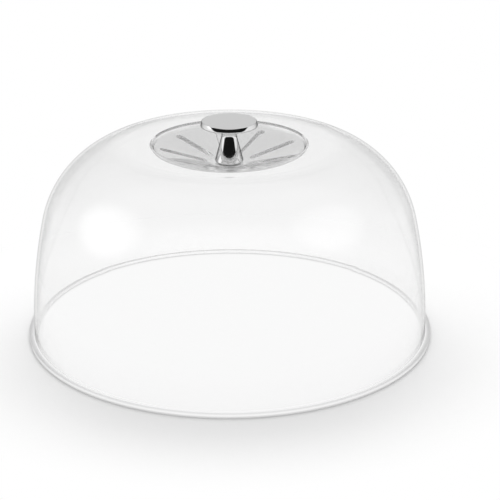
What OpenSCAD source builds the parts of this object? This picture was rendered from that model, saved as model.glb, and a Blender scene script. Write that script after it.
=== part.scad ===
// Clear domed food cover with a fluted dish set into its crown and a metal knob standing in the dish.
// Millimetres, +Z up, origin at the centre of the foot ring's underside.

/* [Dome] */
// Diameter across the foot ring
foot_d = 290; // [265:1:320]
// How far the foot ring stands out from the wall
foot_lip = 3.9; // [2.5:0.1:8]
// Height of the foot ring
foot_h = 3; // [2.4:0.1:6]
// Rounding of the foot ring's edges
foot_edge = 0.9; // [0.3:0.1:1.1]
// Height of the dome without the knob
dome_h = 139.5; // [125:0.1:148]
// Radius of the side wall's slight bow
side_r = 372; // [300:1:460]
// Wall thickness of the dome
wall_t = 2; // [1.7:0.1:2.6]

/* [Crown] */
// Diameter of the flat crown
crown_d = 155.4; // [140:0.2:164]
// Radius of the brow between the shoulder and the crown
brow_r = 25; // [16:0.5:34]
// Lean at which the shoulder turns into the brow, in degrees
brow_lean = 70; // [64:0.5:76]
// Diameter at the top of the steep rim round the dish
dish_d = 106.8; // [96:0.2:116]
// Radius of the edge between crown and rim
edge_r = 1.5; // [0.8:0.1:2.4]
// Radius in the corner under that edge
edge_under_r = 0.5; // [0.2:0.1:1]
// Steepness of the rim, in degrees
rim_slope = 65; // [50:1:75]
// Height of the rim, from the edge to the floor
rim_h = 2.7; // [2:0.1:5]
// Radius in the corner between rim and floor
rim_fillet = 1.5; // [0.8:0.1:2.4]

/* [Dish] */
// Thickness of the dish
dish_t = 2.6; // [2.4:0.1:3]
// Thickness of the dish's edge where it lies on the dome's ledge
lap_t = 1.2; // [1:0.1:1.3]
// Width of the dome's ledge that carries the dish
lap_w = 1.6; // [1:0.1:2]
// Bond gap between the dish and the ledge
lap_gap = 0.05; // [0.02:0.01:0.1]
// Rise of the dish's floor towards the rim, in degrees
floor_slope = 15; // [10:0.5:18]
// Diameter of the flat hub in the middle of the dish
hub_d = 26; // [24:0.2:28]
// Number of flutes sunk in the floor's upper face
flute_count = 9; // [6:1:10]
// Width of a flute
flute_w = 5.2; // [3.6:0.1:5.4]
// Depth of a flute
flute_h = 1.8; // [1:0.1:1.9]
// Radius at which the flutes begin
flute_start = 15.5; // [15.4:0.1:22]
// Floor left between the flutes and the rim
flute_margin = 3.8; // [3.6:0.1:8]
// Direction of the first flute, in degrees
flute_turn = 20; // [0:1:40]

/* [Knob] */
// How far the knob's top stands above the dome
knob_stand = 15.5; // [10:0.1:30]
// Diameter of the cap
cap_d = 38.8; // [32:0.2:48]
// Thickness of the cap at its edge
cap_t = 3.6; // [3:0.1:6]
// Rounding of the cap's upper edge
cap_edge = 0.45; // [0.3:0.05:1]
// Rounding of the cap's lower edge
cap_under_edge = 0.8; // [0.3:0.1:1.4]
// How far the cap's underside dips towards the stem
cap_dip = 1; // [0.4:0.1:2]
// Diameter of the stem's foot
stem_foot_d = 19.6; // [17:0.2:24]
// Diameter of the stem's neck
stem_neck_d = 10; // [8:0.2:12]
// Radius of the flare from the neck to the cap
stem_flare = 5; // [3:0.1:7]
// Rounding of the stem's foot
stem_edge = 1.2; // [0.2:0.1:1.6]
// Thickness of the satin disc
disc_t = 1; // [0.6:0.1:1.6]
// Clearance round the satin disc
disc_gap = 0.05; // [0.02:0.01:0.1]

/* [Fastening] */
// Diameter of the spigot that stands in the hub's bore
spigot_d = 10; // [9:0.1:11]
// Radial clearance of the spigot in the bore
spigot_gap = 0.08; // [0.03:0.01:0.15]
// How far the spigot ends short of the hub's underside
spigot_short = 0.4; // [0.2:0.1:1]
// Diameter of the seat washer under the knob
seat_d = 16.8; // [14:0.2:17]
// Thickness of the seat washer
seat_t = 0.4; // [0.3:0.1:0.8]
// Clearance in the bores of the washers and round the screw
slide_gap = 0.1; // [0.05:0.01:0.2]
// Diameter of the flat washer
washer_d = 16; // [14:0.2:16.8]
// Thickness of the flat washer
washer_t = 0.8; // [0.5:0.1:1.2]
// Sheet thickness of the spring washer
spring_t = 0.6; // [0.4:0.05:0.7]
// Height of the spring washer as fitted
spring_h = 1; // [0.8:0.05:1.4]
// Diameter of the spring washer
spring_d = 11; // [10:0.1:13]
// Diameter of the screw
screw_d = 5; // [4:0.1:5.5]
// Length of the screw under its head
screw_l = 12; // [8:0.5:16]
// Room in the tapped hole past the screw's tip
tap_room = 1; // [0.5:0.1:2]
// Diameter of the screw's head
head_d = 9.6; // [9:0.1:11]
// Height of the screw's head
head_h = 2.6; // [2:0.1:3.4]
// Width of the recess in the screw's head
recess_w = 1.1; // [0.8:0.1:1.4]
// Length of each arm of the recess
recess_l = 4.6; // [3.6:0.1:5.4]
// Depth of the recess
recess_t = 1.4; // [0.8:0.1:1.8]

/* [Hidden] */
$fn = 96;
// Steps in the large and the small arcs of the outlines
large_steps = 16;
small_steps = 6;
// Overlap of joined shapes and overshoot of cuts
bite = 0.5;
// Colours
clear_plastic = [0.85, 0.88, 0.89, 0.35];
smoke_plastic = [0.72, 0.74, 0.75, 0.45];
polished_metal = [0.72, 0.73, 0.74];
satin_metal = [0.80, 0.80, 0.81];
white_plastic = [0.93, 0.93, 0.92];
bright_steel = [0.66, 0.67, 0.69];

// Points on an arc, and a list turned round
function arc(c, r, a0, a1, n) =
    [for (i = [0:n]) let (a = a0 + (a1 - a0) * i / n) c + r * [cos(a), sin(a)]];
function turned(list) = [for (i = [len(list) - 1:-1:0]) list[i]];
// Direction into the wall under a surface that rises outwards at a slope
function into_wall(slope) = [sin(slope), -cos(slope)];
// The corner between two slopes, moved a depth into the wall
function inset_corner(p, s0, s1, depth) =
    p + depth * (into_wall(s0) + into_wall(s1)) / (1 + into_wall(s0) * into_wall(s1));

// Dome: the shoulder's radius follows from the side, the brow and their places
foot_r = foot_d / 2;
wall_r = foot_r - foot_lip;
side_centre = [wall_r - side_r, foot_h];
brow_centre = [crown_d / 2, dome_h - brow_r];
brow_out = [cos(brow_lean), sin(brow_lean)];
brow_end = brow_centre + brow_r * brow_out;
from_side = brow_end - side_centre;
shoulder_r = (from_side * from_side - side_r * side_r) / (2 * (brow_out * from_side - side_r));
shoulder_centre = brow_end - shoulder_r * brow_out;
shoulder_from_side = shoulder_centre - side_centre;
side_lean = atan2(shoulder_from_side[1], shoulder_from_side[0]);

// Rim: from the edge of the crown to the outer corner of the dish's floor
rim_top = [dish_d / 2, dome_h - edge_r * (1 - cos(rim_slope))];
brink = [rim_top[0] + (dome_h - rim_top[1]) / tan(rim_slope), dome_h];
floor_end = rim_top - [rim_h / tan(rim_slope), rim_h];
fillet_centre = inset_corner(floor_end, rim_slope, floor_slope, -rim_fillet);

// Dish: its edge lies in a rebate at the foot of the rim, and each flute is a round groove along the floor
hub_r = hub_d / 2;
hub_z = floor_end[1] - (floor_end[0] - hub_r) * tan(floor_slope);
hub_corner = [hub_r, hub_z];
bore_r = spigot_d / 2 + spigot_gap;
plate_r = fillet_centre[0];
lap_r = plate_r - lap_w;
flute_r = (flute_w * flute_w / 4 + flute_h * flute_h) / (2 * flute_h);
flute_lift = flute_r - flute_h;
flute_first = flute_start + flute_w / 2;
flute_last = floor_end[0] - flute_margin - flute_w / 2;

// Heights of the pieces stacked on the hub
knob_z = hub_z + seat_t;
hub_under_z = hub_z - dish_t;
spigot_z = hub_under_z + spigot_short;
washer_z = hub_under_z - washer_t;
head_z = washer_z - spring_h;
tap_z = head_z + screw_l + tap_room;
hole_d = screw_d + 2 * slide_gap;

// Knob: the stem flares into the cap
overall_h = dome_h + knob_stand;
cap_r = cap_d / 2;
cap_under = overall_h - cap_t;
disc_r = cap_r - cap_edge - disc_gap;
neck_r = stem_neck_d / 2;
flare_centre = [neck_r + stem_flare, cap_under - cap_dip - stem_flare];

// The dome's skin at a depth under its outer surface, from the foot to the floor of the dish
function dome_skin(depth, round_r) = concat(
    arc(side_centre, side_r - depth, 0, side_lean, small_steps),
    arc(shoulder_centre, shoulder_r - depth, side_lean, brow_lean, large_steps),
    arc(brow_centre, brow_r - depth, brow_lean, 90, small_steps),
    arc(inset_corner(brink, rim_slope, 0, depth + round_r), round_r, 90, 90 + rim_slope, small_steps),
    arc(fillet_centre, rim_fillet + depth, rim_slope - 90, floor_slope - 90, small_steps));

// The foot ring, from the wall's inside round to its outside
foot_outline = concat(
    [[wall_r - wall_t, 0]],
    arc([foot_r - foot_edge, foot_edge], foot_edge, -90, 0, small_steps),
    arc([foot_r - foot_edge, foot_h - foot_edge], foot_edge, 0, 90, small_steps));

// A point of the dish's floor at a radius, at a depth under its upper face
function floor_point(r, depth) = [r, hub_z + (r - hub_r) * tan(floor_slope) - depth / cos(floor_slope)];

// The rebate and ledge at the foot of the rim, in which the dish lies
ledge_outline = [
    floor_point(plate_r + lap_gap, 0),
    floor_point(plate_r + lap_gap, lap_t + lap_gap),
    floor_point(lap_r + lap_gap, lap_t + lap_gap),
    floor_point(lap_r + lap_gap, wall_t)];

dish_outline = [
    [bore_r, hub_z],
    hub_corner,
    floor_point(plate_r, 0),
    floor_point(plate_r, lap_t),
    floor_point(lap_r, lap_t),
    floor_point(lap_r, dish_t),
    inset_corner(hub_corner, floor_slope, 0, dish_t),
    [bore_r, hub_under_z]];

knob_outline = concat(
    [[0, knob_z]],
    arc([stem_foot_d / 2 - stem_edge, knob_z + stem_edge], stem_edge, -90, 0, small_steps),
    arc(flare_centre, stem_flare, 180, 90, small_steps),
    arc([cap_r - cap_under_edge, cap_under + cap_under_edge], cap_under_edge, -90, 0, small_steps),
    arc([cap_r - cap_edge, overall_h - cap_edge], cap_edge, 0, 90, small_steps),
    [[0, overall_h]]);

// A round bar along each flute, with round ends
module flute_bars() {
    first = floor_point(flute_first, -flute_lift);
    length = (flute_last - flute_first) / cos(floor_slope);
    for (i = [0:flute_count - 1])
        rotate(flute_turn + i * 360 / flute_count)
            translate([first[0], 0, first[1]])
                rotate([0, 90 - floor_slope, 0]) {
                    cylinder(r = flute_r, h = length);
                    for (z = [0, length])
                        translate([0, 0, z]) sphere(r = flute_r);
                }
}

// A flat ring
module ring(outer_d, inner_d, height) {
    difference() {
        cylinder(d = outer_d, h = height);
        translate([0, 0, -bite]) cylinder(d = inner_d, h = height + 2 * bite);
    }
}

module dome() {
    outside = dome_skin(0, edge_r);
    inside = dome_skin(wall_t, edge_under_r);
    color(clear_plastic) rotate_extrude($fn = 180)
        polygon(concat(foot_outline, outside, ledge_outline, turned(inside)));
}

module crown_dish() {
    color(smoke_plastic) difference() {
        rotate_extrude() polygon(dish_outline);
        flute_bars();
    }
}

module knob_body() {
    color(polished_metal) difference() {
        union() {
            rotate_extrude() polygon(knob_outline);
            translate([0, 0, spigot_z]) cylinder(d = spigot_d, h = knob_z - spigot_z + bite);
        }
        translate([0, 0, overall_h - disc_t]) cylinder(r = disc_r + disc_gap, h = disc_t + bite);
        translate([0, 0, spigot_z - bite]) cylinder(d = hole_d, h = tap_z - spigot_z + bite);
    }
}

module knob_disc() {
    color(satin_metal) translate([0, 0, overall_h - disc_t]) cylinder(r = disc_r, h = disc_t);
}

module seat_washer() {
    color(white_plastic) translate([0, 0, hub_z]) ring(seat_d, spigot_d + 2 * slide_gap, seat_t);
}

module flat_washer() {
    color(bright_steel) translate([0, 0, washer_z]) ring(washer_d, hole_d, washer_t);
}

module spring_washer() {
    outline = [
        [hole_d / 2, head_z],
        [spring_d / 2, washer_z - spring_t],
        [spring_d / 2, washer_z],
        [hole_d / 2, head_z + spring_t]];
    color(bright_steel) rotate_extrude() polygon(outline);
}

module knob_screw() {
    head_r = head_d / 2;
    crown_r = (head_r * head_r + head_h * head_h) / (2 * head_h);
    color(bright_steel) difference() {
        union() {
            translate([0, 0, head_z]) cylinder(d = screw_d, h = screw_l);
            intersection() {
                translate([0, 0, head_z - head_h]) cylinder(d = head_d, h = head_h);
                translate([0, 0, head_z - head_h + crown_r]) sphere(r = crown_r);
            }
        }
        for (a = [0, 90])
            rotate(a) translate([-recess_l / 2, -recess_w / 2, head_z - head_h - bite])
                cube([recess_l, recess_w, recess_t + bite]);
    }
}

dome();
crown_dish();
knob_body();
knob_disc();
seat_washer();
flat_washer();
spring_washer();
knob_screw();
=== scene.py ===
import math

import bmesh
import bpy
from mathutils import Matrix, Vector


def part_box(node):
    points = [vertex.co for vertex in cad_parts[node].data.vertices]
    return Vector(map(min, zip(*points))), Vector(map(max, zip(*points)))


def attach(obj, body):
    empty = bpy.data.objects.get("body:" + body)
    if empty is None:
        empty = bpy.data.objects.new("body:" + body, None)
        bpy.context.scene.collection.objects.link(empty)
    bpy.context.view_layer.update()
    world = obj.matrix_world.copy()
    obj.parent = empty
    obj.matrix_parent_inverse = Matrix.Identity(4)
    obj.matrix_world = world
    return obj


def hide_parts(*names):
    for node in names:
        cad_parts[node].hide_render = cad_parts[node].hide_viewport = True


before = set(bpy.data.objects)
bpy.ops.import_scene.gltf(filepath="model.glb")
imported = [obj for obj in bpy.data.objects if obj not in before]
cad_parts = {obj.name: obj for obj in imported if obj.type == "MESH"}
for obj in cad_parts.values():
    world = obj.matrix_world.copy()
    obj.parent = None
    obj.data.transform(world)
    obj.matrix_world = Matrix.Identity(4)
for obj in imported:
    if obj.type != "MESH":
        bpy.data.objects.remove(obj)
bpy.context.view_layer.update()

# The part's sizes are in millimetres and its angles in degrees. The frame gives what a node's box shows.
MM = 0.001


def node_box(node):
    """The lowest and highest corner of a node, in millimetres."""
    low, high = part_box(node)
    return low / MM, high / MM


# Dome
FOOT_R = node_box("dome")[1].x
DOME_H = node_box("dome")[1].z
FOOT_LIP = 3.9
FOOT_H = 3.0
FOOT_EDGE = 0.9
FOOT_FILLET = 0.7
HEEL_EDGE = 0.35
SIDE_R = 372.0
WALL_T = 2.0

# Crown and rim round the dish
CROWN_R = 77.7
BROW_R = 25.0
BROW_LEAN = 70.0
CREST_R = 50.0
CREST_LEAN = 79.0
DISH_R = 53.4
EDGE_R = 1.5
EDGE_UNDER_R = 0.5
RIM_SLOPE = 65.0
RIM_H = 2.7
RIM_FILLET = 1.5

# Dish. Its hub stands SEAT_EASE clear of the washers and turns into the floor over HUB_EASE.
DISH_T = 2.6
PLATE_R = node_box("crown_dish")[1].x
LEDGE_W = 1.6
FLOOR_SLOPE = 15.0
HUB_R = 13.0
HUB_Z = node_box("seat_washer")[0].z
HUB_UNDER_Z = node_box("flat_washer")[1].z
HUB_EASE = 0.4
SEAT_EASE = 0.02
BORE_R = 5.08
FLUTE_COUNT = 9
FLUTE_W = 5.2
FLUTE_DEPTH = 1.8
FLUTE_START = 15.5
FLUTE_MARGIN = 3.8
FLUTE_TURN = 20.0
FLUTE_EDGE = 0.35

# Knob. The cap's side bows, between its leans at the lower and the upper edge.
KNOB_TOP = node_box("knob_body")[1].z
KNOB_Z = node_box("seat_washer")[1].z
CAP_R = node_box("knob_body")[1].x
CAP_T = 3.6
CAP_LEAN_LOW = 11.0
CAP_LEAN_HIGH = 19.0
CAP_SWELL = 0.43
CAP_EDGE = 0.2
CAP_UNDER_EDGE = 0.8
CAP_DIP = 1.0
STEM_FOOT_R = 9.8
STEM_NECK_R = 5.0
STEM_FLARE = 5.0
STEM_EDGE = 1.2
SPIGOT_R = 5.0
SPIGOT_Z = node_box("knob_body")[0].z
TAP_R = 2.6
TAP_SPARE = 1.0
TAP_TOP = node_box("knob_screw")[1].z + TAP_SPARE
DISC_R = node_box("knob_disc")[1].x
DISC_T = 1.0
FINE_EDGE = 0.15

# Fineness of the meshes: columns round the axis, steps along a flute and across its edge and its groove,
# and the places of the loops between a flute's sector and its outline
COLUMNS_PER_FLUTE = 28
COLUMNS = FLUTE_COUNT * COLUMNS_PER_FLUTE
FLOOR_STEPS = 26
EDGE_STEPS = 5
GROOVE_STEPS = 10
BLENDS = (0.3, 0.55, 0.75, 0.9)
WELD = 0.001


def arc(centre, radius, start, end, steps):
    """Points on an arc."""
    turns = [math.radians(start + (end - start) * i / steps) for i in range(steps + 1)]
    return [(centre[0] + radius * math.cos(a), centre[1] + radius * math.sin(a)) for a in turns]


def line(start, end, steps):
    """Points along a straight line, without its ends."""
    return [tuple(a + (b - a) * i / steps for a, b in zip(start, end)) for i in range(1, steps)]


def into_wall(slope):
    """The direction into the wall under a surface that rises outwards."""
    return Vector((math.sin(math.radians(slope)), -math.cos(math.radians(slope))))


def inset_corner(point, slope, next_slope, depth):
    """The corner between two slopes, moved a depth into the wall."""
    one, two = into_wall(slope), into_wall(next_slope)
    return tuple(Vector(point) + depth * (one + two) / (1 + one.dot(two)))


def turned(point, angle):
    """A point turned round the axis."""
    a = math.radians(angle)
    x, y = point
    return x * math.cos(a) - y * math.sin(a), x * math.sin(a) + y * math.cos(a)


def outward(lean):
    """The direction out of a wall at a lean, which is 0 on an upright wall and 90 on a flat top."""
    return Vector((math.cos(math.radians(lean)), math.sin(math.radians(lean))))


# The dome's outline: a bowed side, a shoulder, a tighter brow, a soft crest, the flat crown and the rim
WALL_R = FOOT_R - FOOT_LIP
SIDE_CENTRE = Vector((WALL_R - SIDE_R, FOOT_H))
CREST_STEP = (CREST_R - BROW_R) * outward(CREST_LEAN)
BROW_CENTRE = Vector((CROWN_R, DOME_H - CREST_R + CREST_STEP.y))
CREST_CENTRE = BROW_CENTRE - CREST_STEP
BROW_OUT = outward(BROW_LEAN)
BROW_END = BROW_CENTRE + BROW_R * BROW_OUT
FROM_SIDE = BROW_END - SIDE_CENTRE
SHOULDER_R = (FROM_SIDE.length_squared - SIDE_R ** 2) / (2 * (BROW_OUT.dot(FROM_SIDE) - SIDE_R))
SHOULDER_CENTRE = BROW_END - SHOULDER_R * BROW_OUT
SIDE_LEAN = math.degrees(math.atan2(*reversed(SHOULDER_CENTRE - SIDE_CENTRE)))
RIM_TOP = (DISH_R, DOME_H - EDGE_R * (1 - math.cos(math.radians(RIM_SLOPE))))
BRINK = (RIM_TOP[0] + (DOME_H - RIM_TOP[1]) / math.tan(math.radians(RIM_SLOPE)), DOME_H)
FLOOR_END = (RIM_TOP[0] - RIM_H / math.tan(math.radians(RIM_SLOPE)), RIM_TOP[1] - RIM_H)
FILLET_CENTRE = inset_corner(FLOOR_END, RIM_SLOPE, FLOOR_SLOPE, -RIM_FILLET)
LEDGE_R = PLATE_R - LEDGE_W

# A flute is a round groove, whose axis runs above the floor
FLUTE_R = (FLUTE_W ** 2 / 4 + FLUTE_DEPTH ** 2) / (2 * FLUTE_DEPTH)
FLUTE_LIFT = FLUTE_R - FLUTE_DEPTH
FLUTE_FIRST = FLUTE_START + FLUTE_W / 2
FLUTE_LAST = FLOOR_END[0] - FLUTE_MARGIN - FLUTE_W / 2


def floor_z(radius, depth):
    """The height of the dish's floor at a radius, at a depth under its upper face."""
    slope = math.radians(FLOOR_SLOPE)
    return HUB_Z + (radius - HUB_R) * math.tan(slope) - depth / math.cos(slope)


def floor_point(radius, depth):
    """A point of the dish's floor, in section."""
    return radius, floor_z(radius, depth)


def dome_skin(depth, round_r, lean):
    """The dome's outline at a depth under its outer face, from a lean of the side to the dish's floor."""
    edge_centre = inset_corner(BRINK, RIM_SLOPE, 0, depth + round_r)
    crown_z = DOME_H - depth
    return (arc(SIDE_CENTRE, SIDE_R - depth, lean, SIDE_LEAN, steps=24)
            + arc(SHOULDER_CENTRE, SHOULDER_R - depth, SIDE_LEAN, BROW_LEAN, steps=44)[1:]
            + arc(BROW_CENTRE, BROW_R - depth, BROW_LEAN, CREST_LEAN, steps=16)[1:]
            + arc(CREST_CENTRE, CREST_R - depth, CREST_LEAN, 90, steps=10)[1:]
            + line((CREST_CENTRE.x, crown_z), (edge_centre[0], crown_z), steps=8)
            + arc(edge_centre, round_r, 90, 90 + RIM_SLOPE, steps=12)
            + arc(FILLET_CENTRE, RIM_FILLET + depth, RIM_SLOPE - 90, FLOOR_SLOPE - 90, steps=10))


def flute_section():
    """Half of a flute's section, from the start of its rounded edge to its middle, as pairs of a half width
    and a depth."""
    plane = FLUTE_LIFT + FLUTE_EDGE
    reach = math.sqrt((FLUTE_R + FLUTE_EDGE) ** 2 - plane ** 2)
    lean = math.degrees(math.atan2(plane, reach))
    section = (arc((reach, plane), FLUTE_EDGE, -90, lean - 180, EDGE_STEPS)
               + arc((0, 0), FLUTE_R, lean, 90, GROOVE_STEPS)[1:])
    return [(across, below - FLUTE_LIFT) for across, below in section]


def flute_outline(turn, across, depth, end_steps, side_steps):
    """The outline of a flute at a half width and a depth, with round ends."""
    shift = depth * math.sin(math.radians(FLOOR_SLOPE))
    first, last = FLUTE_FIRST + shift, FLUTE_LAST + shift
    points = (arc((first, 0), across, -90, -270, end_steps)[:-1]
              + [(first, across)] + line((first, across), (last, across), side_steps)
              + arc((last, 0), across, 90, -90, end_steps)[:-1]
              + [(last, -across)] + line((last, -across), (first, -across), side_steps))
    return [turned(p, turn) for p in points]


def on_floor(outline, depth):
    """An outline laid on the dish's floor at a depth."""
    return [(x, y, floor_z(math.hypot(x, y), depth)) for x, y in outline]


def ring(radius, height):
    """A loop of points round the axis."""
    turns = [2 * math.pi * i / COLUMNS for i in range(COLUMNS)]
    return [(radius * math.cos(a), radius * math.sin(a), height) for a in turns]


class Surface:
    """Faces between loops of points, which become one closed mesh."""

    def __init__(self):
        self.points = []
        self.faces = []

    def loop(self, points):
        """Adds points and gives their numbers."""
        first = len(self.points)
        self.points.extend(points)
        return range(first, len(self.points))

    def bridge(self, loops):
        """Joins each loop to the next one."""
        for low, high in zip(loops, loops[1:]):
            for i in range(len(low)):
                j = (i + 1) % len(low)
                self.faces.append((low[i], low[j], high[j], high[i]))

    def fan(self, loop, tip):
        """Closes a loop with triangles to a tip."""
        (top,) = self.loop([tip])
        for i in range(len(loop)):
            self.faces.append((loop[i], loop[(i + 1) % len(loop)], top))

    def revolve(self, profile):
        """Turns an outline of (radius, height) points round the axis. It may start or end on the axis."""
        loops = [self.loop(ring(*point)) for point in profile if point[0] > 0]
        self.bridge(loops)
        for end, loop in ((profile[0], loops[0]), (profile[-1], loops[-1])):
            if end[0] == 0:
                self.fan(loop, (0, 0, end[1]))

    def fluted_floor(self, inner_r, outer_r):
        """The upper face of the dish's floor, in one sector per flute."""
        def spot(column, step):
            """A point on the lines between two sectors, or on the floor's inner or outer edge."""
            a = 2 * math.pi * column / COLUMNS
            r = inner_r + (outer_r - inner_r) * step / FLOOR_STEPS
            return r * math.cos(a), r * math.sin(a)

        for i in range(FLUTE_COUNT):
            first = i * COLUMNS_PER_FLUTE
            last = first + COLUMNS_PER_FLUTE
            turn = FLUTE_TURN + i * 360 / FLUTE_COUNT
            border = ([spot(c, 0) for c in range(first, last)]
                      + [spot(last, s) for s in range(FLOOR_STEPS)]
                      + [spot(c, FLOOR_STEPS) for c in range(last, first, -1)]
                      + [spot(first, s) for s in range(FLOOR_STEPS, 0, -1)])
            outlines = [(flute_outline(turn, across, below, COLUMNS_PER_FLUTE, FLOOR_STEPS), below)
                        for across, below in flute_section()]
            loops = [on_floor(border, 0)]
            for t in BLENDS:
                between = [(a + (c - a) * t, b + (d - b) * t)
                           for (a, b), (c, d) in zip(border, outlines[0][0])]
                loops.append(on_floor(between, 0))
            loops += [on_floor(*outline) for outline in outlines]
            self.bridge([self.loop(points) for points in loops])

    def piece(self, name, nodes, material):
        """Makes the finished object, in the place of CAD nodes."""
        mesh = bpy.data.meshes.new(name)
        mesh.from_pydata([Vector(p) * MM for p in self.points], [], self.faces)
        welded = bmesh.new()
        welded.from_mesh(mesh)
        bmesh.ops.remove_doubles(welded, verts=welded.verts, dist=WELD * MM)
        bmesh.ops.recalc_face_normals(welded, faces=welded.faces)
        welded.to_mesh(mesh)
        welded.free()
        mesh.shade_smooth()
        mesh.materials.append(material)
        made = bpy.data.objects.new(name, mesh)
        bpy.context.scene.collection.objects.link(made)
        made.modifiers.new("even_normals", "WEIGHTED_NORMAL")
        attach(made, "root")
        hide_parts(*nodes)


# Shader nodes
def node_tree(material):
    """A material's nodes, with its shader and its output."""
    material.use_nodes = True
    tree = material.node_tree
    return tree, tree.nodes["Principled BSDF"], tree.nodes["Material Output"]


def add(tree, kind, **values):
    """A new node, with its settings and the numbers on its sockets."""
    node = tree.nodes.new(kind)
    for key, value in values.items():
        if hasattr(node, key):
            setattr(node, key, value)
        else:
            node.inputs[key.replace("_", " ")].default_value = value
    return node


def combine(tree, operation, one, two, clamp=False):
    """The result of an operation on two values, each of them a socket or a number."""
    node = add(tree, "ShaderNodeMath", operation=operation, use_clamp=clamp)
    for socket, value in zip(node.inputs, (one, two)):
        if isinstance(value, bpy.types.NodeSocket):
            tree.links.new(value, socket)
        else:
            socket.default_value = value
    return node.outputs["Value"]


def vector_math(tree, operation, value, other=(0, 0, 0)):
    """The outputs of an operation on a vector, and on another one if it takes two."""
    node = add(tree, "ShaderNodeVectorMath", operation=operation)
    node.inputs[1].default_value = other
    tree.links.new(value, node.inputs[0])
    return node.outputs


def fade(tree, value, low, high, start=0.0, end=1.0, smooth=False):
    """A level that goes from low to high as a value goes from its start to its end."""
    node = add(tree, "ShaderNodeMapRange", interpolation_type="SMOOTHSTEP" if smooth else "LINEAR",
               From_Min=start, From_Max=end, To_Min=low, To_Max=high)
    tree.links.new(value, node.inputs["Value"])
    return node.outputs["Result"]


def mixed(tree, share, one, two):
    """A mix of two shaders, with a share of the second one."""
    node = add(tree, "ShaderNodeMixShader")
    tree.links.new(share, node.inputs["Fac"])
    tree.links.new(one, node.inputs[1])
    tree.links.new(two, node.inputs[2])
    return node.outputs["Shader"]


def grey(tone):
    """A grey colour."""
    return tone, tone, tone, 1


def grained(tree, shader, grain, dark, light, rough_low, rough_high):
    """Gives a shader the tones and the roughness of a grain."""
    tone = add(tree, "ShaderNodeValToRGB")
    tone.color_ramp.elements[0].color = grey(dark)
    tone.color_ramp.elements[1].color = grey(light)
    tree.links.new(grain, tone.inputs["Fac"])
    tree.links.new(tone.outputs["Color"], shader.inputs["Base Color"])
    tree.links.new(fade(tree, grain, rough_low, rough_high), shader.inputs["Roughness"])


def bumped(tree, shader, height, strength, depth):
    """Gives a shader a bump, with its depth in millimetres."""
    bump = add(tree, "ShaderNodeBump", Strength=strength, Distance=depth * MM)
    tree.links.new(height, bump.inputs["Height"])
    tree.links.new(bump.outputs["Normal"], shader.inputs["Normal"])


# Materials
PLASTIC_IOR = 1.49
PLASTIC_CLEAR = 0.957
PLASTIC_TONE = 0.5
# The next two set a painted shade: the colour darkens where the plastic is seen along its surface
PAINTED_EDGE_SHADE = 2.4
PAINTED_EDGE_POWER = 11.0
TINT_BLEND = 0.8
RIPPLE_SCALE = 16.0
RIPPLE_STRENGTH = 0.1
RIPPLE_DEPTH = 0.05
GRAIN_DETAIL = 4.0
GRAIN_STRENGTH = 0.3
LEVEL = (1, 1, 0)


def clear_plastic(name, shadow, foot_shadow, absorb, tint, tint_r):
    """Clear moulded plastic, with a faint ripple from the mould. Its colour is darkened where it is seen
    along its surface, a painted shade that draws its dark outlines, and it is tinted within a radius of the
    axis. The light that falls on other things goes straight through it, less of it through the foot ring."""
    material = bpy.data.materials.new(name)
    tree, shader, output = node_tree(material)
    link = tree.links.new
    shader.inputs["Transmission Weight"].default_value = 1
    shader.inputs["Roughness"].default_value = 0
    shader.inputs["IOR"].default_value = PLASTIC_IOR
    place = add(tree, "ShaderNodeTexCoord").outputs["Object"]

    reach = vector_math(tree, "LENGTH", vector_math(tree, "MULTIPLY", place, LEVEL)["Vector"])["Value"]
    shade = fade(tree, reach, tint, 1.0, (tint_r - TINT_BLEND) * MM, tint_r * MM, smooth=True)
    # Painted shade: the colour darkens where the plastic is seen along its surface, which draws its dark
    # outlines
    facing = add(tree, "ShaderNodeLayerWeight", Blend=0.5).outputs["Facing"]
    along = combine(tree, "POWER", facing, PAINTED_EDGE_POWER)
    painted_edge_shade = fade(tree, along, PLASTIC_CLEAR, PLASTIC_CLEAR - PAINTED_EDGE_SHADE)
    link(combine(tree, "MULTIPLY", painted_edge_shade, shade, clamp=True), shader.inputs["Base Color"])

    ripple = add(tree, "ShaderNodeTexNoise", Scale=RIPPLE_SCALE, Detail=1.0)
    link(place, ripple.inputs["Vector"])
    bumped(tree, shader, ripple.outputs["Fac"], RIPPLE_STRENGTH, RIPPLE_DEPTH)

    path = add(tree, "ShaderNodeLightPath").outputs
    height = add(tree, "ShaderNodeSeparateXYZ")
    through = add(tree, "ShaderNodeBsdfTransparent")
    link(place, height.inputs[0])
    foot = fade(tree, height.outputs["Z"], foot_shadow, shadow, FOOT_H * MM, 2 * FOOT_H * MM)
    link(foot, through.inputs["Color"])
    falling = combine(tree, "MAXIMUM", path["Is Shadow Ray"], path["Is Diffuse Ray"])
    link(mixed(tree, falling, shader.outputs["BSDF"], through.outputs["BSDF"]), output.inputs["Surface"])
    body = add(tree, "ShaderNodeVolumeAbsorption", Color=grey(PLASTIC_TONE), Density=absorb)
    link(body.outputs["Volume"], output.inputs["Volume"])
    return material


def metal(name, dark, light, edge, rough_low, rough_high, grain, bump_depth):
    """Metal with a fine grain. The grain's scale along X, Y and Z sets the direction of its lines, and edge
    is its tone where it is seen along its surface."""
    material = bpy.data.materials.new(name)
    tree, shader, _ = node_tree(material)
    shader.inputs["Metallic"].default_value = 1
    shader.inputs["Specular Tint"].default_value = grey(edge)
    place = add(tree, "ShaderNodeTexCoord")
    stretch = add(tree, "ShaderNodeMapping", Scale=grain)
    lines = add(tree, "ShaderNodeTexNoise", Scale=1.0, Detail=GRAIN_DETAIL)
    tree.links.new(place.outputs["Object"], stretch.inputs["Vector"])
    tree.links.new(stretch.outputs["Vector"], lines.inputs["Vector"])
    grained(tree, shader, lines.outputs["Fac"], dark, light, rough_low, rough_high)
    bumped(tree, shader, lines.outputs["Fac"], GRAIN_STRENGTH, bump_depth)
    return material


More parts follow.
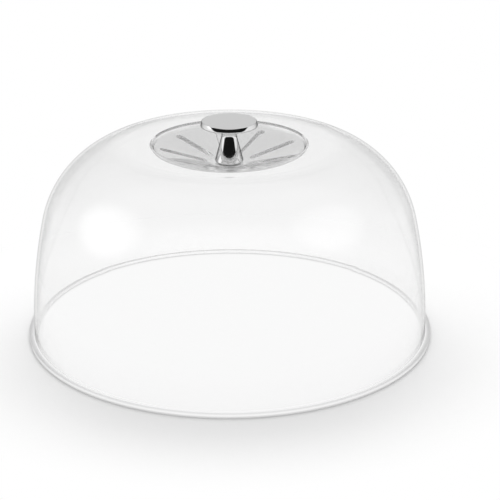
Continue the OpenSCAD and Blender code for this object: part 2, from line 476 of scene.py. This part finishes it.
def soft_plastic(name, dark, light, rough_low, rough_high, grain):
    """Matt plastic with a fine grain."""
    material = bpy.data.materials.new(name)
    tree, shader, _ = node_tree(material)
    place = add(tree, "ShaderNodeTexCoord")
    grains = add(tree, "ShaderNodeTexNoise", Scale=grain, Detail=GRAIN_DETAIL)
    tree.links.new(place.outputs["Object"], grains.inputs["Vector"])
    grained(tree, shader, grains.outputs["Fac"], dark, light, rough_low, rough_high)
    return material


# Pieces
def make_shell(material):
    """The dome and the dish bonded into it, as one clear shell."""
    lean = math.degrees(FOOT_FILLET / SIDE_R)
    heel = (WALL_R - WALL_T + HEEL_EDGE, HEEL_EDGE)
    toe = (FOOT_R - FOOT_EDGE, FOOT_EDGE)
    bond = [floor_point(LEDGE_R, DISH_T)]
    inside = dome_skin(WALL_T, EDGE_UNDER_R, 0)[::-1]
    outside = dome_skin(0, EDGE_R, lean)[1:]
    low_corner = inset_corner((HUB_R, HUB_Z), FLOOR_SLOPE, 0, DISH_T)
    seat, under = HUB_Z - SEAT_EASE, HUB_UNDER_Z + SEAT_EASE
    surface = Surface()
    surface.revolve(bond + inside
                    + arc(heel, HEEL_EDGE, 180, 270, steps=4)
                    + line((heel[0], 0), (toe[0], 0), steps=4)
                    + arc(toe, FOOT_EDGE, -90, 0, steps=8)
                    + arc((toe[0], FOOT_H - FOOT_EDGE), FOOT_EDGE, 0, 90, steps=8)
                    + arc((WALL_R + FOOT_FILLET, FOOT_H + FOOT_FILLET), FOOT_FILLET, 270, 180, steps=6)
                    + outside)
    surface.fluted_floor(HUB_R, outside[-1][0])
    surface.revolve([(HUB_R, HUB_Z), (HUB_R - HUB_EASE, seat), (BORE_R + 2 * FINE_EDGE, seat),
                     (BORE_R + FINE_EDGE, seat), (BORE_R, seat - FINE_EDGE),
                     (BORE_R, under + FINE_EDGE), (BORE_R + FINE_EDGE, under),
                     (low_corner[0] - HUB_EASE, under), floor_point(low_corner[0] + HUB_EASE, DISH_T)]
                    + bond)
    surface.piece("dome_shell", ("dome", "crown_dish"), material)


def make_knob(material):
    """The knob's turned body, with its spigot and tapped hole. One arc, the cap's side, touches the round
    edges below and above it."""
    cap_low = KNOB_TOP - CAP_T
    flare = (STEM_NECK_R + STEM_FLARE, cap_low - CAP_DIP - STEM_FLARE)
    foot = (STEM_FOOT_R - STEM_EDGE, KNOB_Z + STEM_EDGE)
    under = (CAP_R + CAP_SWELL - CAP_UNDER_EDGE, cap_low + CAP_UNDER_EDGE)
    low, high = outward(CAP_LEAN_LOW), outward(CAP_LEAN_HIGH)
    rise = KNOB_TOP - CAP_EDGE - under[1]
    side_r = (rise - CAP_UNDER_EDGE * low.y + CAP_EDGE * high.y) / (high.y - low.y)
    side = Vector(under) - (side_r - CAP_UNDER_EDGE) * low
    edge = side + (side_r - CAP_EDGE) * high
    recess_r, recess_z = edge.x, KNOB_TOP - DISC_T
    surface = Surface()
    surface.revolve([(0, TAP_TOP), (TAP_R, TAP_TOP), (TAP_R, SPIGOT_Z + FINE_EDGE),
                     (TAP_R + FINE_EDGE, SPIGOT_Z), (SPIGOT_R - FINE_EDGE, SPIGOT_Z),
                     (SPIGOT_R, SPIGOT_Z + FINE_EDGE), (SPIGOT_R, KNOB_Z), (foot[0] - STEM_EDGE, KNOB_Z)]
                    + arc(foot, STEM_EDGE, -90, 0, steps=8)
                    + line((STEM_FOOT_R, foot[1]), (STEM_NECK_R, flare[1]), steps=10)
                    + arc(flare, STEM_FLARE, 180, 90, steps=20)
                    + line((flare[0], flare[1] + STEM_FLARE), (under[0], cap_low), steps=6)
                    + arc(under, CAP_UNDER_EDGE, -90, CAP_LEAN_LOW, steps=12)
                    + arc(side, side_r, CAP_LEAN_LOW, CAP_LEAN_HIGH, steps=8)[1:-1]
                    + arc(edge, CAP_EDGE, CAP_LEAN_HIGH, 90, steps=10)
                    + [(recess_r, recess_z), (recess_r - FINE_EDGE, recess_z), (0, recess_z)])
    surface.piece("knob_turned_body", ("knob_body",), material)


def make_disc(material):
    """The disc let into the knob's top."""
    low = KNOB_TOP - DISC_T
    rim = (DISC_R - FINE_EDGE, KNOB_TOP - FINE_EDGE)
    surface = Surface()
    surface.revolve([(0, KNOB_TOP)]
                    + line((0, KNOB_TOP), (rim[0], KNOB_TOP), steps=8)
                    + arc(rim, FINE_EDGE, 90, 0, steps=4)
                    + [(DISC_R, low + FINE_EDGE), (DISC_R - FINE_EDGE, low), (0, low)])
    surface.piece("knob_top_disc", ("knob_disc",), material)


def finish_node(node, material):
    """Gives a CAD node that stays in view its material."""
    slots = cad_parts[node].data.materials
    slots.clear()
    slots.append(material)


make_shell(clear_plastic("clear_dome", shadow=0.935, foot_shadow=0.6, absorb=6.0,
                         tint=0.74, tint_r=DISH_R + EDGE_R))
make_knob(metal("polished_knob", dark=0.74, light=0.8, edge=0.1, rough_low=0.04, rough_high=0.08,
                grain=(300, 300, 2500), bump_depth=0.002))
make_disc(metal("satin_disc", dark=0.57, light=0.67, edge=1.0, rough_low=0.26, rough_high=0.36,
                grain=(60, 4000, 400), bump_depth=0.01))
bright_steel = metal("bright_steel", dark=0.6, light=0.76, edge=1.0, rough_low=0.2, rough_high=0.34,
                     grain=(900, 900, 900), bump_depth=0.01)
finish_node("flat_washer", bright_steel)
finish_node("spring_washer", bright_steel)
finish_node("knob_screw", bright_steel)
finish_node("seat_washer", soft_plastic("white_plastic", dark=0.8, light=0.9,
                                        rough_low=0.4, rough_high=0.55, grain=900.0))

# Studio, with its sizes in metres. A pair is where a change in the floor's looks starts and ends, as a
# radius or, in BEHIND_SHARES, as Y over the radius.
FLOOR_HALF = 6.0
FLOOR_LIFT = 0.0002
FLOOR_TONE = 0.94
SHADOW_RADII = (0.15, 0.24)
SHADOW_WHITE = 0.1
# Painted light: inside the dome and under its foot ring the floor glows white, over the dome's shadow
INNER_RADII = (0.139, 0.1445)
INNER_PAINTED_WHITE = 0.97
# Painted shade: a dark patch on the floor behind the dome, which only light led along inside the plastic
# sees
BEHIND_RADII = (0.17, 0.2)
BEHIND_SHARES = (0.6, 0.85)
PAINTED_DARK_SHARE = 0.6
PAINTED_DARK_TONE = 0.02
GUIDED_CROSSINGS = 3.5
LIGHT_BOX_SHARE = 0.35
BLACK_LEVEL = 0.01
LAMP_SIZE = 1.2
LAMP_POWER = 17.0
CAMERA_LENS = 111.17
CAMERA_SENSOR = 36.0
CAMERA_START = 0.05


def eye_rays(tree, path):
    """1 for what is seen, straight, mirrored or through the plastic, and 0 for the light that falls on
    things."""
    bent = combine(tree, "MAXIMUM", path["Is Glossy Ray"], path["Is Transmission Ray"])
    return combine(tree, "MAXIMUM", path["Is Camera Ray"], bent)


def mirrored_rays(tree, path):
    """1 for what has been mirrored on its way, and 0 for the rest."""
    return combine(tree, "MINIMUM", path["Glossy Depth"], 1.0)


def floor_material():
    """The floor keeps the shadow near the dome and is plain white further off. Inside the dome and under its
    foot ring it glows white to the eye, painted light over the dome's shadow there. Behind the dome it is
    painted dark for light that is led along inside the plastic, and from below the camera sees through it."""
    material = bpy.data.materials.new("studio_floor")
    tree, shader, output = node_tree(material)
    tree.nodes.remove(shader)
    place = add(tree, "ShaderNodeTexCoord").outputs["Object"]
    path = add(tree, "ShaderNodeLightPath").outputs
    reach = vector_math(tree, "LENGTH", place)["Value"]

    matt = add(tree, "ShaderNodeBsdfDiffuse", Color=grey(FLOOR_TONE)).outputs["BSDF"]
    white = add(tree, "ShaderNodeEmission", Color=grey(1), Strength=1.0).outputs["Emission"]
    outside = fade(tree, reach, SHADOW_WHITE, 1.0, *SHADOW_RADII, smooth=True)
    # Painted light: inside the dome and under its foot ring the floor glows white to the eye, over the
    # dome's shadow there
    inside = fade(tree, reach, INNER_PAINTED_WHITE, SHADOW_WHITE, *INNER_RADII, smooth=True)
    plain = combine(tree, "MAXIMUM", outside, inside)
    shown = mixed(tree, combine(tree, "MULTIPLY", eye_rays(tree, path), plain), matt, white)

    # Painted shade: behind the dome the floor is dark for light that has been led along inside the plastic
    # and mirrored, so that the plastic shows shade where that light ends
    way = add(tree, "ShaderNodeSeparateXYZ")
    tree.links.new(vector_math(tree, "NORMALIZE", place)["Vector"], way.inputs[0])
    behind = fade(tree, way.outputs["Y"], 0.0, PAINTED_DARK_SHARE, *BEHIND_SHARES, smooth=True)
    clear_of = fade(tree, reach, 0.0, 1.0, *BEHIND_RADII, smooth=True)
    crossed = combine(tree, "GREATER_THAN", path["Transmission Depth"], GUIDED_CROSSINGS)
    there = combine(tree, "MULTIPLY", behind, clear_of)
    guided = combine(tree, "MULTIPLY", crossed, mirrored_rays(tree, path))
    dark = add(tree, "ShaderNodeBsdfDiffuse", Color=grey(PAINTED_DARK_TONE)).outputs["BSDF"]
    painted_dark_behind = mixed(tree, combine(tree, "MULTIPLY", there, guided), shown, dark)

    backfacing = add(tree, "ShaderNodeNewGeometry").outputs["Backfacing"]
    from_below = combine(tree, "MULTIPLY", path["Is Camera Ray"], backfacing)
    nothing = add(tree, "ShaderNodeBsdfTransparent").outputs["BSDF"]
    tree.links.new(mixed(tree, from_below, painted_dark_behind, nothing), output.inputs["Surface"])
    return material


def make_floor():
    """A wide floor, a little above the foot ring's underside."""
    corners = [(x * FLOOR_HALF, y * FLOOR_HALF, FLOOR_LIFT) for x, y in ((-1, -1), (1, -1), (1, 1), (-1, 1))]
    mesh = bpy.data.meshes.new("studio_floor")
    mesh.from_pydata(corners, [], [range(len(corners))])
    mesh.materials.append(floor_material())
    made = bpy.data.objects.new("studio_floor", mesh)
    bpy.context.scene.collection.objects.link(made)


def make_world():
    """A studio that is plain white where it is seen straight. Mirrored, it has a soft box on each side, and
    a shaded gap and corners at the back. Rough mirrors, which are the metal, also show a dark side low in
    front. The light that falls on things is dark in front and dim overhead."""
    world = bpy.data.worlds.new("studio")
    bpy.context.scene.world = world
    world.use_nodes = True
    tree = world.node_tree
    link = tree.links.new
    light = tree.nodes["Background"]
    view = add(tree, "ShaderNodeBackground", Strength=1.0)
    place = add(tree, "ShaderNodeTexCoord").outputs["Generated"]
    path = add(tree, "ShaderNodeLightPath").outputs

    def lobe(direction, near, full, outside, inside):
        """A level that goes from outside to inside as a direction nears another."""
        toward = vector_math(tree, "DOT_PRODUCT", place, Vector(direction).normalized())["Value"]
        return fade(tree, toward, outside, inside, near, full, smooth=True)

    left_box = lobe((-0.89, 0, 0.45), near=0.89, full=1.0, outside=0.0, inside=1.15)
    right_box = lobe((0.78, -0.14, 0.62), near=0.89, full=1.0, outside=0.0, inside=0.75)
    boxes = combine(tree, "ADD", left_box, right_box)

    front = lobe((0, -1, 0), near=0.42, full=0.62, outside=1.0, inside=0.02)
    top = lobe((0, 0, 1), near=0.5, full=0.8, outside=0.77, inside=0.5)
    walls = combine(tree, "MULTIPLY", front, top)
    box_light = combine(tree, "MULTIPLY", boxes, LIGHT_BOX_SHARE)
    link(combine(tree, "ADD", walls, box_light), light.inputs["Color"])

    mirrored = mirrored_rays(tree, path)
    gap = lobe((0, 0.62, 0.79), near=0.88, full=0.98, outside=1.0, inside=0.8)
    left_corner = lobe((-0.5, 0.74, 0.45), near=0.82, full=1.0, outside=1.0, inside=0.7)
    right_corner = lobe((0.5, 0.74, 0.45), near=0.82, full=1.0, outside=1.0, inside=0.7)
    back = combine(tree, "MULTIPLY", gap, combine(tree, "MULTIPLY", left_corner, right_corner))
    shaded = combine(tree, "MAXIMUM", back, fade(tree, mirrored, 1.0, 0.0))
    bright = combine(tree, "ADD", shaded, combine(tree, "MULTIPLY", boxes, mirrored))

    ahead = lobe((0, -1, 2.5), near=0.205, full=0.262, outside=0.0, inside=1.0)
    low = lobe((0, 0, 1), near=0.3, full=0.42, outside=1.0, inside=0.0)
    rough = combine(tree, "MULTIPLY", mirrored, fade(tree, path["Is Singular Ray"], 1.0, 0.0))
    black = combine(tree, "MULTIPLY", rough, combine(tree, "MULTIPLY", ahead, low))
    link(combine(tree, "MULTIPLY", bright, fade(tree, black, 1.0, BLACK_LEVEL)), view.inputs["Color"])

    both = mixed(tree, eye_rays(tree, path), light.outputs["Background"], view.outputs["Background"])
    link(both, tree.nodes["World Output"].inputs["Surface"])


def put(thing, place, aim):
    """Puts a lamp or a camera in its place and points it."""
    thing.location = place
    thing.rotation_mode = "QUATERNION"
    thing.rotation_quaternion = (Vector(aim) - Vector(place)).to_track_quat("-Z", "Y")
    bpy.context.scene.collection.objects.link(thing)


def make_lamp(name, place, aim):
    """A square lamp that lights things and is seen nowhere."""
    light = bpy.data.lights.new(name, "AREA")
    light.size = LAMP_SIZE
    light.energy = LAMP_POWER
    lamp = bpy.data.objects.new(name, light)
    lamp.visible_glossy = False
    lamp.visible_transmission = False
    lamp.visible_camera = False
    put(lamp, place, aim)


def make_camera(place, aim):
    """The photo's camera."""
    camera = bpy.data.objects.new("camera", bpy.data.cameras.new("camera"))
    camera.data.lens = CAMERA_LENS
    camera.data.sensor_width = CAMERA_SENSOR
    camera.data.clip_start = CAMERA_START
    put(camera, place, aim)
    bpy.context.scene.camera = camera


make_floor()
make_world()
make_lamp("back_lamp", place=(0.0, 0.9, 1.1), aim=(0, 0, 0.05))
make_camera(place=(0.0, -1.0252, 0.4660), aim=(0.0144, -0.0037, 0.0603))

scene = bpy.context.scene
scene.view_settings.view_transform = "Standard"
# Light is mirrored many times inside the plastic
scene.cycles.max_bounces = 128
scene.cycles.transmission_bounces = 64
scene.cycles.glossy_bounces = 128
scene.cycles.transparent_max_bounces = 64
